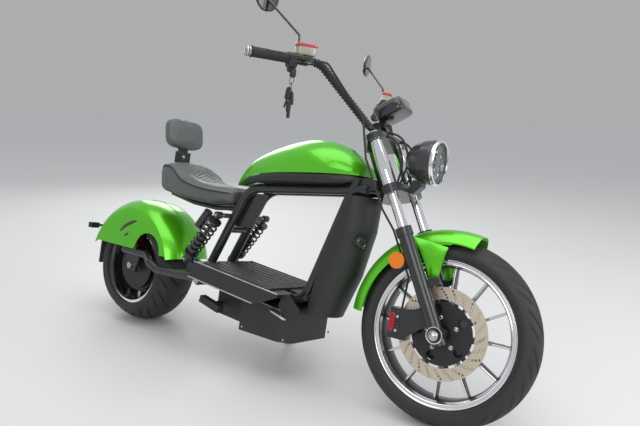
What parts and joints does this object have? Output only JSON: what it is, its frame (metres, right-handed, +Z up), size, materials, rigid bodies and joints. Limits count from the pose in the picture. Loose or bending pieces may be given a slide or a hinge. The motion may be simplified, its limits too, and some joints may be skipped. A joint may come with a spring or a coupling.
{
  "type": "electric chopper scooter",
  "caption": "Low chopper-style electric scooter with fat tyres, high handlebar, teardrop cover, padded seat and backrest, leaning on its side stand.",
  "frame": {"origin": "centre of the model's bounding box at floor level", "axes": "+X points forward along the vehicle's length, +Y to the rider's left, +Z up; the vehicle leans 11.36 degrees towards +Y on its side stand"},
  "size_m": [2.0561, 0.9068, 1.3569],
  "materials": {
    "alloy": "satin",
    "battery": "satin",
    "black_alloy": "satin",
    "black_frame": "satin",
    "black_plastic": "matt",
    "chrome": "polished",
    "disc_steel": "brushed",
    "green_paint": "gloss",
    "leather": "satin",
    "lens": "clear",
    "mirror": "satin",
    "orange_lens": "gloss",
    "red_alloy": "satin",
    "red_lens": "gloss",
    "rubber": "matt",
    "steel": "satin",
    "tyre": "matt"
  },
  "bodies": {
    "frame_body": {"main_frame": "black_frame", "tank_cover": "green_paint", "infill_panels": "black_plastic", "seat": "leather", "seat_base": "black_plastic", "backrest": "leather", "deck": "black_plastic", "deck_mat": "rubber", "battery_box": "black_frame", "battery_pack": "battery", "leg_panel": "black_plastic", "swingarm": "black_frame", "axle_bolts": "steel", "shock_bodies": "black_alloy", "shock_springs": "black_alloy", "rear_fender": "green_paint", "plate_bracket": "black_plastic", "tail_lamp": "red_lens", "pegs": "rubber", "rear_caliper": "red_alloy"},
    "steering": {"lower_yoke": "black_frame", "upper_yoke": "black_frame", "fork_tubes": "chrome", "fork_legs": "black_frame", "front_axle": "steel", "front_fender": "green_paint", "headlight_bowl": "black_plastic", "headlight_lens": "lens", "display": "black_plastic", "handlebar": "black_frame", "grips": "rubber", "hand_controls": "black_alloy", "reservoirs": "alloy", "reservoir_lids": "red_alloy", "mirrors": "mirror", "reflectors": "orange_lens", "front_caliper": "red_alloy", "brake_hose": "rubber"},
    "front_wheel": {"front_tyre": "tyre", "front_rim": "black_alloy", "front_disc": "disc_steel"},
    "rear_wheel": {"rear_tyre": "tyre", "rear_rim": "black_alloy", "hub_motor": "black_alloy"},
    "stand": {"side_stand": "black_frame"}
  },
  "joints": [
    {"name": "steering", "type": "hinge", "parent": "frame_body", "child": "steering", "pos_m": [0.46809, -0.0595, 0.67665], "axis": [-0.4787, 0.1729, 0.8608], "range_deg": [-38, 28]},
    {"name": "front_wheel", "type": "hinge", "parent": "steering", "child": "front_wheel", "pos_m": [0.73578, -0.13381, 0.28629], "axis": [-0.0787, 0.968, -0.2382], "continuous": true},
    {"name": "rear_wheel", "type": "hinge", "parent": "frame_body", "child": "rear_wheel", "pos_m": [-0.70806, -0.14805, 0.23588], "axis": [0, 0.9804, -0.197], "continuous": true},
    {"name": "side_stand", "type": "hinge", "parent": "frame_body", "child": "stand", "pos_m": [-0.06806, -0.01882, 0.12771], "axis": [0, 0.9437, 0.3307], "range_deg": [0, 100]}
  ]
}
